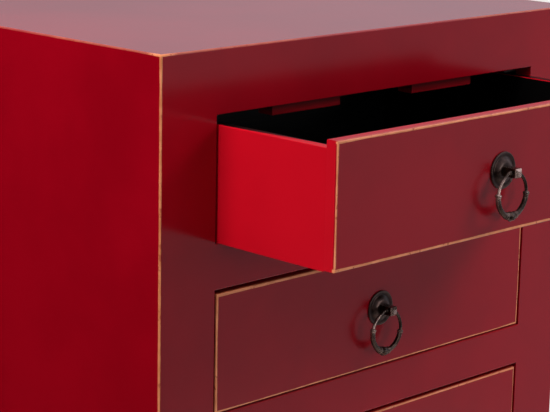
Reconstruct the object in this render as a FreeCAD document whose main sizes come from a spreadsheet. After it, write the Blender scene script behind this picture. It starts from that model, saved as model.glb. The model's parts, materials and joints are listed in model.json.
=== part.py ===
# A lacquered chest of drawers: flush front frame, inset drawers, a ring pull on each drawer.
# Millimetres. +Z is up, the front faces -Y, and the origin lies on the floor under the middle
# of the stored pose, in which the top drawer stands part open.
import FreeCAD, Part
import math
import os
import re
import Sketcher

DRAWERS = 4
LEFT = -1
RIGHT = 1
TOUCH = 0.001
QUARTER = 90.0
THIRD = 120.0

# Each ring hangs askew in its loose eye by its own share of ring_skew.
RING_LEAN = (0.3, 1.0, -0.4, 0.5)

# Driving dimensions, in millimetres and degrees.
SIZES = {
    # Case
    "case_width": 648.0,
    "case_depth": 430.0,
    "top_thick": 20.0,
    "side_thick": 20.0,
    "frame_thick": 22.0,
    "stile_width": 73.8,
    "opening_height": 132.5,
    "rail_height": 48.5,
    "top_rail_height": 44.5,
    "top_rail_lap": 2.0,
    "bottom_rail_height": 50.0,
    "foot_height": 70.0,
    "bracket_width": 10.0,
    "bracket_drop": 25.0,
    "back_thick": 8.0,
    "rabbet_depth": 10.0,
    "panel_gap": 0.5,
    "rear_rail_height": 50.0,
    "rear_rail_thick": 20.0,
    "base_thick": 6.0,
    "edge_round": 2.5,
    "small_round": 1.5,
    "rail_round": 1.0,
    # Stub tenons of the front rails
    "tenon_length": 18.0,
    "tenon_thick": 8.0,
    "tenon_shoulder": 6.0,
    "tenon_gap": 0.2,
    # Runners, guides, kickers and stops inside the case
    "runner_thick": 18.0,
    "runner_reach": 22.0,
    "runner_end_gap": 4.0,
    "guide_thick": 20.0,
    "guide_height": 30.0,
    "guide_gap": 1.5,
    "stop_length": 101.0,
    "stop_offset": 108.0,
    "stop_drop": 15.2,
    "stop_depth": 20.0,
    "stop_gap": 0.3,
    "stop_pass_gap": 4.0,
    "kicker_gap": 2.5,
    # Drawers
    "drawer_rear_gap": 27.0,
    "drawer_front_thick": 14.5,
    "drawer_side_thick": 12.0,
    "drawer_back_thick": 12.0,
    "drawer_bottom_thick": 5.0,
    "front_gap_side": 3.2,
    "front_gap_top": 4.0,
    "front_gap_bottom": 1.5,
    "side_drop": 7.8,
    "run_gap": 0.3,
    "groove_height": 10.0,
    "groove_depth": 5.0,
    "groove_gap": 0.3,
    "back_inset": 10.0,
    "tongue_length": 5.0,
    "tongue_thick": 6.0,
    "tongue_shoulder": 8.0,
    "tongue_gap": 0.2,
    "top_drawer_open": 161.0,
    # Ring pulls
    "pull_rise": 2.8,
    "plate_radius": 19.6,
    "plate_rim": 2.0,
    "plate_rim_width": 2.4,
    "plate_sink": 1.0,
    "plate_dome": 5.0,
    "plate_seat": 7.5,
    "post_width": 9.5,
    "post_reach": 23.0,
    "post_chamfer": 2.4,
    "stud_radius": 3.0,
    "stud_gap": 0.2,
    "stud_end": 9.0,
    "nut_width": 11.0,
    "nut_thick": 5.0,
    "nut_flange_radius": 8.0,
    "nut_flange_thick": 1.5,
    "nut_gap": 0.1,
    "ring_axis_out": 15.3,
    "ring_radius": 22.7,
    "ring_thin": 1.7,
    "ring_thick": 2.9,
    "ring_skew": 12.0,
    "pin_radius": 1.5,
    "pin_tip": 1.5,
    "eye_gap": 0.15,
    "shoulder_radius": 2.4,
    "shoulder_thick": 1.0,
    "shoulder_gap": 0.5,
    "bend_radius": 4.0,
    "collar_radius": 3.7,
    "collar_turn": 4.3,
    "bead_radius": 5.4,
    "bead_collar_turn": 14.0,
    "bead_collar_radius": 4.2,
    "bead_collar_length": 2.9,
}

# Sizes that follow from the driving ones. A height named from the opening is above its lower edge.
DERIVED = {
    "half_width": "case_width / 2",
    "opening_width": "case_width - 2 * stile_width",
    "opening_pitch": "opening_height + rail_height",
    "base_height": "foot_height + bottom_rail_height",
    "frame_height": f"base_height + {DRAWERS} * opening_height + {DRAWERS - 1} * rail_height"
    " + top_rail_height",
    "front_y": "(top_drawer_open + post_reach - case_depth) / 2",
    "side_depth": "case_depth - frame_thick",
    "front_foot": "stile_width - frame_thick",
    "inner_width": "case_width - 2 * side_thick",
    "runner_length": "side_depth - back_thick - rear_rail_thick - runner_end_gap",
    "runner_width": "(inner_width - opening_width) / 2 + runner_reach",
    "drawer_width": "opening_width - 2 * front_gap_side",
    "guide_face": "(inner_width - drawer_width) / 2 - guide_gap",
    "front_height": "opening_height - front_gap_top - front_gap_bottom",
    "drawer_length": "case_depth - back_thick - drawer_rear_gap",
    "side_length": "drawer_length - drawer_front_thick",
    "side_top": "opening_height - front_gap_top - side_drop",
    "side_height": "side_top - run_gap",
    "box_width": "drawer_width - 2 * drawer_side_thick",
    "groove_width": "drawer_bottom_thick + groove_gap",
    "groove_level": "run_gap + groove_height",
    "back_level": "groove_level + groove_width",
    "back_height": "opening_height - stop_drop - stop_pass_gap - back_level",
    "back_place": "side_length - back_inset - drawer_back_thick",
    "tongue_level": "groove_level + groove_width + tongue_gap",
    "tongue_height": "side_top - tongue_shoulder - tongue_level",
    "pull_level": "front_gap_bottom + front_height / 2 + pull_rise",
    "eye_radius": "pin_radius / cos(ring_skew * 1deg) + post_width / 2 * tan(ring_skew * 1deg)"
    " + eye_gap",
    "shoulder_place": "(post_width / 2 + shoulder_gap) / cos(ring_skew * 1deg)"
    " + shoulder_radius * tan(ring_skew * 1deg)",
    "bend_place": "shoulder_place + shoulder_thick",
    "bend_corner": "bend_place / (1 - bend_radius / ring_radius)",
    "bend_turn": "2 * atan(bend_corner / ring_radius) / 1deg",
    "bead_reach": "ring_radius * tan(bead_collar_turn * 1deg)",
    "bead_drop": "ring_radius * (1 + 1 / cos(bead_collar_turn * 1deg))",
}

doc = FreeCAD.newDocument("ChestOfDrawers")
nodes = []


def fill_sheet(name, rows):
    """Spreadsheet with one named cell for each row."""
    sheet = doc.addObject("Spreadsheet::Sheet", name)
    for row, (alias, text) in enumerate(rows.items(), 1):
        sheet.set(f"A{row}", alias)
        sheet.set(f"B{row}", str(text))
        sheet.setAlias(f"B{row}", alias)
    doc.recompute()


def led(text, names, sheet):
    """Expression text with each of the names led by its sheet."""
    return re.sub(r"\w+", lambda word: f"{sheet}.{word[0]}" if word[0] in names else word[0], text)


def bound(text):
    """Expression over both sheets, from text that holds bare size names."""
    return led(led(text, SIZES, "Sizes"), DERIVED, "Derived")


def bind(item, **sizes):
    """Tie properties of an object to expressions."""
    for name, text in sizes.items():
        item.setExpression(name, bound(text))


def place(item, x, y, z):
    """Tie the place of an object to expressions."""
    for axis, text in zip("xyz", (x, y, z)):
        item.setExpression(f"Placement.Base.{axis}", bound(text))


def turned(x, y, z, angle):
    """Placement that turns by an angle in degrees about one axis."""
    return FreeCAD.Placement(FreeCAD.Vector(), FreeCAD.Rotation(FreeCAD.Vector(x, y, z), angle))


def new_body(label, x, y, z, placement=None):
    """Empty body with its local origin at the given place."""
    body = doc.addObject("PartDesign::Body", label)
    body.Label = label
    if placement:
        body.Placement = placement
    place(body, x, y, z)
    return body


def block(body, corner, size, cut=False):
    """Rectangular stock added to a body, or a housing cut out of it."""
    kind = "PartDesign::SubtractiveBox" if cut else "PartDesign::AdditiveBox"
    piece = body.newObject(kind, "Housing" if cut else "Stock")
    bind(piece, **dict(zip(("Length", "Width", "Height"), size)))
    place(piece, *corner)
    return piece


def bore(body, base, radius, length, placement, cut=True):
    """Round hole through a body, or a round shank on it, along the placement's Z axis."""
    kind = "PartDesign::SubtractiveCylinder" if cut else "PartDesign::AdditiveCylinder"
    piece = body.newObject(kind, "Bore" if cut else "Shank")
    piece.Placement = placement
    bind(piece, Radius=radius, Height=length)
    place(piece, *base)
    return piece


def edges_of(body, test):
    """The body's last feature and the names of its edges whose boxes pass the test."""
    doc.recompute()
    shape = body.Tip.Shape
    found = [f"Edge{i}" for i, e in enumerate(shape.Edges, 1) if test(e.BoundBox, shape.BoundBox)]
    return body.Tip, found


def round_edges(body, radius, test):
    """Fillet on the edges whose boxes pass the test."""
    base = edges_of(body, test)
    fillet = body.newObject("PartDesign::Fillet", "Rounding")
    fillet.Base = base
    bind(fillet, Radius=radius)


def outline(body, role, corners):
    """Closed sketch on one of the body's planes.

    A corner is (across, up). A third value turns the run to the next corner into an arc of
    under a half circle whose centre lies that far across.
    """
    sketch = body.newObject("Sketcher::SketchObject", "Outline")
    plane = next(item for item in body.Origin.OriginFeatures if item.Role == role)
    sketch.AttachmentSupport = [(plane, "")]
    sketch.MapMode = "FlatFace"

    def number(text):
        return float(sketch.evalExpression(bound(text)))

    spots = [FreeCAD.Vector(number(corner[0]), number(corner[1])) for corner in corners]
    ends = []
    for index, corner in enumerate(corners):
        start = spots[index]
        stop = spots[(index + 1) % len(spots)]
        if len(corner) == 2:
            sketch.addGeometry(Part.LineSegment(start, stop))
            ends.append((1, 2))
            continue
        run = stop - start
        middle = (start + stop) / 2
        across = number(corner[2])
        centre = FreeCAD.Vector(across, middle.y - (across - middle.x) * run.x / run.y)
        leftward = (start - centre).cross(stop - centre).z > 0
        ends.append((1, 2) if leftward else (2, 1))
        first, last = (start, stop) if leftward else (stop, start)
        angles = [math.atan2(spot.y - centre.y, spot.x - centre.x) for spot in (first, last)]
        circle = Part.Circle(centre, FreeCAD.Vector(0, 0, 1), (start - centre).Length)
        sketch.addGeometry(Part.ArcOfCircle(circle, *angles))

    def fix(kind, edge, point, text):
        value = number(text)
        row = sketch.addConstraint(Sketcher.Constraint(kind, -1, 1, edge, point, value))
        sketch.setExpression(f"Constraints[{row}]", bound(text))

    for index, corner in enumerate(corners):
        after = (index + 1) % len(corners)
        sketch.addConstraint(
            Sketcher.Constraint("Coincident", index, ends[index][1], after, ends[after][0])
        )
        fix("DistanceX", index, ends[index][0], corner[0])
        fix("DistanceY", index, ends[index][0], corner[1])
        if len(corner) == 3:
            fix("DistanceX", index, 3, corner[2])
    return sketch


def pad(body, sketch, length, reverse=False):
    """Board of a sketched outline."""
    board = body.newObject("PartDesign::Pad", "Board")
    board.Profile = sketch
    board.Reversed = reverse
    bind(board, Length=length)


def group(label, members):
    """One node of several separate solids."""
    joined = doc.addObject("Part::Compound", label)
    joined.Label = label
    joined.Links = members
    nodes.append(joined)


def on_front(box, whole):
    """True for an edge that lies in the front face."""
    return box.YMax < whole.YMin + TOUCH


def on_top(box, whole):
    """True for an edge that lies in the top face."""
    return box.ZMin > whole.ZMax - TOUCH


def on_bottom(box, whole):
    """True for an edge that lies in the bottom face."""
    return box.ZMax < whole.ZMin + TOUCH


def on_side(box, whole, side):
    """True for an edge that lies in the left or right face."""
    return box.XMax < whole.XMin + TOUCH if side == LEFT else box.XMin > whole.XMax - TOUCH


def on_either_side(box, whole):
    """True for an edge that lies in the left or the right face."""
    return on_side(box, whole, LEFT) or on_side(box, whole, RIGHT)


def opening_level(number):
    """Height of the lower edge of a drawer's opening, counted from the top drawer."""
    return f"(base_height + {DRAWERS - number} * opening_pitch)"


def from_front(text):
    """Depth behind the front of the case."""
    return f"front_y + {text}"


def side_name(side):
    """Word for a side."""
    return "left" if side == LEFT else "right"


def edge_place(side, half, thick):
    """Left end of a board of a given thickness whose outer face lies half a width out."""
    return f"-({half})" if side == LEFT else f"{half} - {thick}"


def across(side, inset, size, width):
    """Left end of a cut that lies inset from the outer face of a board of a given width."""
    return inset if side == LEFT else f"{width} - ({inset}) - ({size})"


def make_top():
    """Top panel, rounded along its front and sides."""

    def shown(box, whole):
        ends = on_either_side(box, whole)
        return on_top(box, whole) and (on_front(box, whole) or ends) or on_front(box, whole) and ends

    body = new_body("top_panel", "-half_width", "front_y", "frame_height")
    block(body, ("0", "0", "0"), ("case_width", "case_depth", "top_thick"))
    round_edges(body, "edge_round", shown)
    nodes.append(body)


def make_side(side):
    """Side panel that ends in a front and a rear foot, rebated behind for the back."""
    x = edge_place(side, "half_width", "side_thick")
    body = new_body(f"{side_name(side)}_side_panel", x, from_front("frame_thick"), "0")
    rear = "(side_depth - stile_width)"
    low = "foot_height - bracket_drop"
    front_arc = "front_foot + bracket_width + bracket_drop"
    rear_arc = f"{rear} - bracket_width - bracket_drop"
    corners = [
        ("0", "0"),
        ("front_foot", "0"),
        ("front_foot", low),
        ("front_foot + bracket_width", low, front_arc),
        (front_arc, "foot_height"),
        (rear_arc, "foot_height", rear_arc),
        (f"{rear} - bracket_width", low),
        (rear, low),
        (rear, "0"),
        ("side_depth", "0"),
        ("side_depth", "frame_height"),
        ("0", "frame_height"),
    ]
    pad(body, outline(body, "YZ_Plane", corners), "side_thick")
    inset = across(side, "side_thick - rabbet_depth", "rabbet_depth", "side_thick")
    place_y = "side_depth - back_thick"
    rebate = ("rabbet_depth", "back_thick", "frame_height - foot_height")
    block(body, (inset, place_y, "foot_height"), rebate, cut=True)
    nodes.append(body)


def rail_levels():
    """Name, lower edge and height of each straight front rail, from the top down.

    The top rail laps a little over the top drawer's opening.
    """
    top_level = f"{opening_level(1)} + opening_height - top_rail_lap"
    rails = [("top_rail", top_level, "(top_rail_height + top_rail_lap)")]
    for number in range(1, DRAWERS):
        rails.append((f"middle_rail_{number}", f"{opening_level(number)} - rail_height", "rail_height"))
    return rails


def tenon_height(height):
    """Height of the stub tenon of a rail."""
    return f"({height} - 2 * tenon_shoulder)"


def make_stile(side):
    """Front stile, down to the floor, with a mortise for each rail."""
    x = edge_place(side, "half_width", "stile_width")
    body = new_body(f"{side_name(side)}_stile", x, "front_y", "0")
    block(body, ("0", "0", "0"), ("stile_width", "frame_thick", "frame_height"))
    round_edges(body, "edge_round", lambda box, whole: on_front(box, whole) and on_side(box, whole, side))
    mortise = "(tenon_length + tenon_gap)"
    x_cut = across(side, f"stile_width - {mortise}", mortise, "stile_width")
    for _, level, height in rail_levels() + [("bottom_rail", "foot_height", "bottom_rail_height")]:
        start_y = "(frame_thick - tenon_thick) / 2 - tenon_gap"
        corner = (x_cut, start_y, f"{level} + tenon_shoulder - tenon_gap")
        size = (mortise, "tenon_thick + 2 * tenon_gap", f"{tenon_height(height)} + 2 * tenon_gap")
        block(body, corner, size, cut=True)
    nodes.append(body)


def add_tenons(body, level, height):
    """Stub tenons on both ends of a rail whose local origin is at its left shoulder."""
    for x in ("-tenon_length", "opening_width"):
        corner = (x, "(frame_thick - tenon_thick) / 2", f"{level} + tenon_shoulder")
        block(body, corner, ("tenon_length", "tenon_thick", tenon_height(height)))


def make_rails():
    """Straight front rails between the stiles, eased along the edges that face an opening."""

    def under(box, whole):
        return on_front(box, whole) and on_bottom(box, whole)

    def between(box, whole):
        return under(box, whole) or on_front(box, whole) and on_top(box, whole)

    for label, level, height in rail_levels():
        body = new_body(label, "-opening_width / 2", "front_y", level)
        block(body, ("0", "0", "0"), ("opening_width", "frame_thick", height))
        round_edges(body, "rail_round", under if label == "top_rail" else between)
        add_tenons(body, "0", height)
        nodes.append(body)


def make_bottom_rail():
    """Bottom rail whose lower edge turns down into a bracket at each stile."""
    body = new_body("bottom_rail", "-opening_width / 2", "front_y", "foot_height - bracket_drop")
    left_arc = "bracket_width + bracket_drop"
    right_arc = f"opening_width - ({left_arc})"
    corners = [
        ("0", "0"),
        ("bracket_width", "0", left_arc),
        (left_arc, "bracket_drop"),
        (right_arc, "bracket_drop", right_arc),
        ("opening_width - bracket_width", "0"),
        ("opening_width", "0"),
        ("opening_width", "bracket_drop + bottom_rail_height"),
        ("0", "bracket_drop + bottom_rail_height"),
    ]
    pad(body, outline(body, "XZ_Plane", corners), "frame_thick", reverse=True)
    round_edges(body, "rail_round", lambda box, whole: on_front(box, whole) and on_top(box, whole))
    add_tenons(body, "bracket_drop", "bottom_rail_height")
    nodes.append(body)


def make_rear():
    """Back panel in its rebates, the two rear rails and the dust panel under the drawers."""
    width = "inner_width + 2 * rabbet_depth - 2 * panel_gap"
    body = new_body("back_panel", f"-({width}) / 2", from_front("case_depth - back_thick"), "foot_height")
    block(body, ("0", "0", "0"), (width, "back_thick", "frame_height - foot_height"))
    nodes.append(body)
    rail_y = from_front("case_depth - back_thick - rear_rail_thick")
    levels = {"rear_top_rail": "frame_height - rear_rail_height", "rear_bottom_rail": "foot_height"}
    for label, level in levels.items():
        rail = new_body(label, "-inner_width / 2", rail_y, level)
        block(rail, ("0", "0", "0"), ("inner_width", "rear_rail_thick", "rear_rail_height"))
        nodes.append(rail)
    dust_z = "base_height - runner_thick - base_thick"
    dust = new_body("dust_panel", "-inner_width / 2", from_front("frame_thick"), dust_z)
    dust_depth = "side_depth - back_thick - rear_rail_thick"
    block(dust, ("0", "0", "0"), ("inner_width", dust_depth, "base_thick"))
    nodes.append(dust)


def make_runner(number, side):
    """Runner with a raised guide beside the drawer, on the inner face of a side panel."""
    level = f"{opening_level(number)} - runner_thick"
    x = f"{side} * inner_width / 2"
    body = new_body(f"runner_{number}_{side_name(side)}", x, from_front("frame_thick"), level)
    guide_back = "guide_face - guide_thick"
    guide_top = "runner_thick + guide_height"
    steps = [
        ("0", "0"),
        ("runner_width", "0"),
        ("runner_width", "runner_thick"),
        ("guide_face", "runner_thick"),
        ("guide_face", guide_top),
        (guide_back, guide_top),
        (guide_back, "runner_thick"),
        ("0", "runner_thick"),
    ]
    corners = [(f"{-side} * ({x_step})", z_step) for x_step, z_step in steps]
    pad(body, outline(body, "XZ_Plane", corners), "runner_length", reverse=True)
    return body


def make_kicker(number, side):
    """Strip above a drawer side that keeps the drawer from tipping when it is pulled out."""
    x = edge_place(side, "inner_width / 2", "runner_width")
    level = f"{opening_level(number)} + side_top + kicker_gap"
    body = new_body(f"kicker_{number}_{side_name(side)}", x, from_front("frame_thick"), level)
    block(body, ("0", "0", "0"), ("runner_width", "runner_length", "runner_thick"))
    return body


def make_stop(number, side):
    """Block under a rail that the back of the closed drawer front meets."""
    x = f"{side} * stop_offset - stop_length / 2"
    level = f"{opening_level(number)} + opening_height - stop_drop"
    y = from_front("drawer_front_thick + stop_gap")
    body = new_body(f"stop_{number}_{side_name(side)}", x, y, level)
    height = "stop_drop - top_rail_lap" if number == 1 else "stop_drop"
    block(body, ("0", "0", "0"), ("stop_length", "stop_depth", height))
    round_edges(body, "small_round", on_bottom)
    return body


def make_slides():
    """Runners, kickers and stops of every drawer."""
    kickers = []
    for number in range(1, DRAWERS + 1):
        group(f"runners_{number}", [make_runner(number, side) for side in (LEFT, RIGHT)])
        group(f"drawer_stops_{number}", [make_stop(number, side) for side in (LEFT, RIGHT)])
        kickers += [make_kicker(number, side) for side in (LEFT, RIGHT)]
    group("kickers", kickers)


def tongue_place(side, width):
    """Left end of the tongue of a drawer side within a board of a given width."""
    return across(side, "(drawer_side_thick - tongue_thick) / 2", "tongue_thick", width)


def make_drawer_front(number, y):
    """Drawer front, rounded round its face and along its top, grooved behind for sides and bottom."""

    def shown(box, whole):
        behind = box.YMin > whole.YMax - TOUCH
        return on_front(box, whole) or behind and on_top(box, whole)

    z = f"{opening_level(number)} + front_gap_bottom"
    body = new_body(f"drawer_{number}_front", "-drawer_width / 2", y, z)
    block(body, ("0", "0", "0"), ("drawer_width", "drawer_front_thick", "front_height"))
    round_edges(body, "small_round", shown)
    groove_y = "drawer_front_thick - groove_depth"
    groove_x = "drawer_side_thick - groove_depth"
    groove = ("box_width + 2 * groove_depth", "groove_depth", "groove_width")
    block(body, (groove_x, groove_y, "groove_level - front_gap_bottom"), groove, cut=True)
    slot_height = "tongue_height + 2 * tongue_gap"
    slot = ("tongue_thick + 2 * tongue_gap", "tongue_length + tongue_gap", slot_height)
    slot_z = "tongue_level - front_gap_bottom - tongue_gap"
    for side in (LEFT, RIGHT):
        slot_x = f"{tongue_place(side, 'drawer_width')} - tongue_gap"
        block(body, (slot_x, "drawer_front_thick - tongue_length - tongue_gap", slot_z), slot, cut=True)
    hole_at = ("drawer_width / 2", "0", "pull_level - front_gap_bottom")
    bore(body, hole_at, "stud_radius + stud_gap", "drawer_front_thick", turned(1, 0, 0, -QUARTER))
    nodes.append(body)


def make_drawer_side(number, side, y):
    """Drawer side with a tongue at the front, a groove for the bottom and a housing for the back."""
    x = edge_place(side, "drawer_width / 2", "drawer_side_thick")
    z = f"{opening_level(number)} + run_gap"
    body = new_body(f"drawer_{number}_{side_name(side)}_side", x, f"{y} + drawer_front_thick", z)
    block(body, ("0", "0", "0"), ("drawer_side_thick", "side_length", "side_height"))
    round_edges(body, "small_round", lambda box, whole: on_top(box, whole) and on_either_side(box, whole))
    tongue = ("tongue_thick", "tongue_length", "tongue_height")
    tongue_x = tongue_place(side, "drawer_side_thick")
    block(body, (tongue_x, "-tongue_length", "tongue_level - run_gap"), tongue)
    inner = across(side, "drawer_side_thick - groove_depth", "groove_depth", "drawer_side_thick")
    block(body, (inner, "0", "groove_height"), ("groove_depth", "side_length", "groove_width"), cut=True)
    housing = ("groove_depth", "drawer_back_thick + 2 * groove_gap", "back_height + groove_gap")
    block(body, (inner, "back_place - groove_gap", "back_level - run_gap"), housing, cut=True)
    nodes.append(body)


def make_drawer_box(number, y):
    """Back and bottom of a drawer; the bottom slides into its grooves under the back."""
    width = "(box_width + 2 * groove_depth - 2 * groove_gap)"
    back_y = f"{y} + drawer_front_thick + back_place"
    back_z = f"{opening_level(number)} + back_level"
    back = new_body(f"drawer_{number}_back", f"-{width} / 2", back_y, back_z)
    block(back, ("0", "0", "0"), (width, "drawer_back_thick", "back_height"))
    nodes.append(back)
    start = "drawer_front_thick - groove_depth + groove_gap"
    floor_z = f"{opening_level(number)} + groove_level"
    floor = new_body(f"drawer_{number}_bottom", f"-{width} / 2", f"{y} + {start}", floor_z)
    block(floor, ("0", "0", "0"), (width, f"drawer_length - ({start})", "drawer_bottom_thick"))
    nodes.append(floor)


def make_plate(number, y, z):
    """Round domed plate with a raised rim, turned about the line of the post."""
    body = new_body(f"pull_{number}_plate", "0", y, z, turned(1, 0, 0, QUARTER))
    hollow = "plate_radius - 2 * plate_rim_width"
    corners = [
        ("stud_radius + stud_gap", "0"),
        ("plate_radius", "0"),
        ("plate_radius", "plate_rim / 2", "plate_radius - plate_rim_width / 2"),
        ("plate_radius - plate_rim_width / 2", "plate_rim"),
        ("plate_radius - plate_rim_width", "plate_rim"),
        (hollow, "plate_sink", "0"),
        ("plate_seat", "plate_dome"),
        ("stud_radius + stud_gap", "plate_dome"),
    ]
    sketch = outline(body, "XZ_Plane", corners)
    turn = body.newObject("PartDesign::Revolution", "Dome")
    turn.Profile = sketch
    turn.ReferenceAxis = (sketch, ["V_Axis"])
    nodes.append(body)


def make_post(number, y, z):
    """Square post with a bevelled end, an eye for the ring and a stud through the drawer front."""
    body = new_body(f"pull_{number}_post", "0", y, z)
    half = "-post_width / 2"
    block(body, (half, "-post_reach", half), ("post_width", "post_reach - plate_dome", "post_width"))
    base = edges_of(body, on_front)
    bevel = body.newObject("PartDesign::Chamfer", "Bevel")
    bevel.Base = base
    bind(bevel, Size="post_chamfer")
    stud = "plate_dome + drawer_front_thick + stud_end"
    bore(body, ("0", "-plate_dome", "0"), "stud_radius", stud, turned(1, 0, 0, -QUARTER), cut=False)
    eye_at = ("-post_width", "-ring_axis_out", "0")
    bore(body, eye_at, "eye_radius", "2 * post_width", turned(0, 1, 0, QUARTER))
    nodes.append(body)


def make_nut(number, y, z):
    """Flanged hexagon nut on the stud, inside the drawer."""
    body = new_body(f"pull_{number}_nut", "0", f"{y} + drawer_front_thick", z)
    backward = turned(1, 0, 0, -QUARTER)
    prism = body.newObject("PartDesign::AdditivePrism", "Hexagon")
    prism.Placement = backward
    bind(prism, Circumradius="nut_width / sqrt(3)", Height="nut_thick")
    bore(body, ("0", "0", "0"), "nut_flange_radius", "nut_flange_thick", backward, cut=False)
    bore(body, ("0", "0", "0"), "stud_radius + nut_gap", "nut_thick", backward)
    nodes.append(body)


def solid(kind, name, base, placement=None, **sizes):
    """Part primitive at a place, with its sizes tied to expressions."""
    piece = doc.addObject(f"Part::{kind}", name)
    if placement:
        piece.Placement = placement
    bind(piece, **sizes)
    place(piece, *base)
    return piece


def half_ring(side):
    """Pieces of one half of a ring, from its pin in the eye of the post down to the bead.

    The arms are stretches of one circle through the pivot. A pin with a shoulder bends into a straight
    link, which runs along a tangent of the circle into the thin upper arm. A collar hides the step to
    the thick lower arm, and a second collar runs along a tangent from there into the bead.
    """
    outward = turned(0, 1, 0, side * QUARTER)
    facing = turned(0, 0, 1, 2 * QUARTER if side == LEFT else 0)
    bend_turn = "bend_turn * 1deg"
    bead_turn = "bead_collar_turn * 1deg"
    pin = solid(
        "Cylinder", "Pin", (f"{side} * pin_tip", "0", "0"), outward,
        Radius="pin_radius", Height="shoulder_place - pin_tip",
    )
    shoulder = solid(
        "Cylinder", "Shoulder", (f"{side} * shoulder_place", "0", "0"), outward,
        Radius="shoulder_radius", Height="shoulder_thick",
    )
    bend = solid(
        "Torus", "Bend", (f"{side} * bend_place", "0", "-bend_radius"), facing * turned(1, 1, 1, -THIRD),
        Radius1="bend_radius", Radius2="ring_thin", Angle3=bend_turn,
    )
    link_x = f"{side} * (bend_place + bend_radius * sin({bend_turn}))"
    link_z = f"bend_radius * (cos({bend_turn}) - 1)"
    link = solid(
        "Cylinder", "Link", (link_x, "0", link_z), outward,
        Radius="ring_thin", Height="bend_place",
    )
    bind(link, **{"Placement.Rotation.Angle": f"{side} * (90deg + {bend_turn})"})
    inset = "(bead_reach - bead_collar_length)"
    collar_x = f"{side} * {inset} * cos({bead_turn})"
    collar_z = f"{inset} * sin({bead_turn}) - bead_drop"
    bead_collar = solid(
        "Cylinder", "BeadCollar", (collar_x, "0", collar_z), outward,
        Radius="bead_collar_radius", Height="bead_collar_length",
    )
    bind(bead_collar, **{"Placement.Rotation.Angle": f"{side} * (90deg - {bead_turn})"})
    pieces = [pin, shoulder, bend, link, bead_collar]
    stretches = (
        ("UpperArm", QUARTER, "ring_thin", f"90deg - {bend_turn}"),
        ("UpperCollar", QUARTER, "collar_radius", "collar_turn * 1deg"),
        ("LowerArm", -QUARTER, "ring_thick", f"90deg - {bead_turn}"),
        ("LowerCollar", -QUARTER, "collar_radius", "collar_turn * 1deg"),
    )
    for name, tilt, radius, sweep in stretches:
        pieces.append(solid(
            "Torus", name, ("0", "0", "-ring_radius"), facing * turned(1, 0, 0, tilt),
            Radius1="ring_radius", Radius2=radius, Angle3=sweep,
        ))
    return pieces


def make_ring(number, y, z):
    """Ring pull that hangs by two pins in the eye of its post, with a bead at the bottom."""
    bead_at = ("0", "0", "-bead_drop")
    bead = solid("Sphere", "Bead", bead_at, turned(0, 0, 1, QUARTER), Radius="bead_radius")
    whole = doc.addObject("Part::MultiFuse", f"pull_{number}_ring")
    whole.Label = f"pull_{number}_ring"
    whole.Shapes = [bead] + half_ring(LEFT) + half_ring(RIGHT)
    whole.Placement = turned(0, 1, 0, RING_LEAN[number - 1])
    bind(whole, **{"Placement.Rotation.Angle": f"{RING_LEAN[number - 1]} * ring_skew * 1deg"})
    place(whole, "0", f"{y} - ring_axis_out", z)
    nodes.append(whole)


def make_drawer(number):
    """One drawer with its ring pull; the top one stands part open."""
    y = "front_y - top_drawer_open" if number == 1 else "front_y"
    make_drawer_front(number, y)
    for side in (LEFT, RIGHT):
        make_drawer_side(number, side, y)
    make_drawer_box(number, y)
    z = f"{opening_level(number)} + pull_level"
    for make in (make_plate, make_post, make_nut, make_ring):
        make(number, y, z)


def write_parts():
    """Check every object of the document, then write each node's shape to its own file."""
    doc.recompute()
    failed = [item.Label for item in doc.Objects if {"Invalid", "Error"} & set(item.State)]
    failed += [node.Label for node in nodes if node.Shape.isNull() or not node.Shape.isValid()]
    if failed:
        raise RuntimeError(f"these pieces failed: {failed}")
    os.makedirs("parts", exist_ok=True)
    for node in nodes:
        node.Shape.exportStep(f"parts/{node.Label}.step")
        print(f"{node.Label}: {len(node.Shape.Solids)} solids, {node.Shape.Volume / 1000:.1f} cm3")


fill_sheet("Sizes", SIZES)
fill_sheet("Derived", {name: f"={led(text, SIZES, 'Sizes')}" for name, text in DERIVED.items()})
make_top()
for case_side in (LEFT, RIGHT):
    make_side(case_side)
    make_stile(case_side)
make_rails()
make_bottom_rail()
make_rear()
make_slides()
for drawer in range(1, DRAWERS + 1):
    make_drawer(drawer)
write_parts()
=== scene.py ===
"""Looks for a red lacquered chest of drawers with iron ring pulls.

The boards keep their solids and get procedural finishes. The pull plates and rings are new
surfaces worked out with numpy. Lengths are metres, written as millimetres times MM.
"""

from __future__ import annotations

import json
import logging
import math
from dataclasses import dataclass
from enum import Enum
from functools import partial

import bpy
import numpy as np
from mathutils import Matrix, Vector


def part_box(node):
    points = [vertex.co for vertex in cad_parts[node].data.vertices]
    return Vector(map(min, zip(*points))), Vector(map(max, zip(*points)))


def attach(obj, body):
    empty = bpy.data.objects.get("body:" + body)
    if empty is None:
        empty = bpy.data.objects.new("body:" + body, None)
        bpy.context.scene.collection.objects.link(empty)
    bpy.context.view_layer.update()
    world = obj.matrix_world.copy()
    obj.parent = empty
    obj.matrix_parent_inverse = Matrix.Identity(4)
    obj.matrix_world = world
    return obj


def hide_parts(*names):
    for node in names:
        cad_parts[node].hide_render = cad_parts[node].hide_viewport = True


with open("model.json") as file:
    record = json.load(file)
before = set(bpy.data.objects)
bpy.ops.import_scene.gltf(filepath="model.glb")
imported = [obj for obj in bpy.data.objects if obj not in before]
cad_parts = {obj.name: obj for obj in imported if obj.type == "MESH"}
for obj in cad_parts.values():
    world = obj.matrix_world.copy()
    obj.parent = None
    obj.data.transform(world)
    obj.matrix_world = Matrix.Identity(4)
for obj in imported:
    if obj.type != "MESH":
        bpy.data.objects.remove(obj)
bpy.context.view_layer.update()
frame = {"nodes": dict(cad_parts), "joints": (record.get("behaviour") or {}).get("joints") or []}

LOG = logging.getLogger("chest")
MM = 0.001
FAR = 10.0
QUARTER = math.pi / 2
FULL_TURN = 2 * math.pi
DRAWERS = (1, 2, 3, 4)

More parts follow.
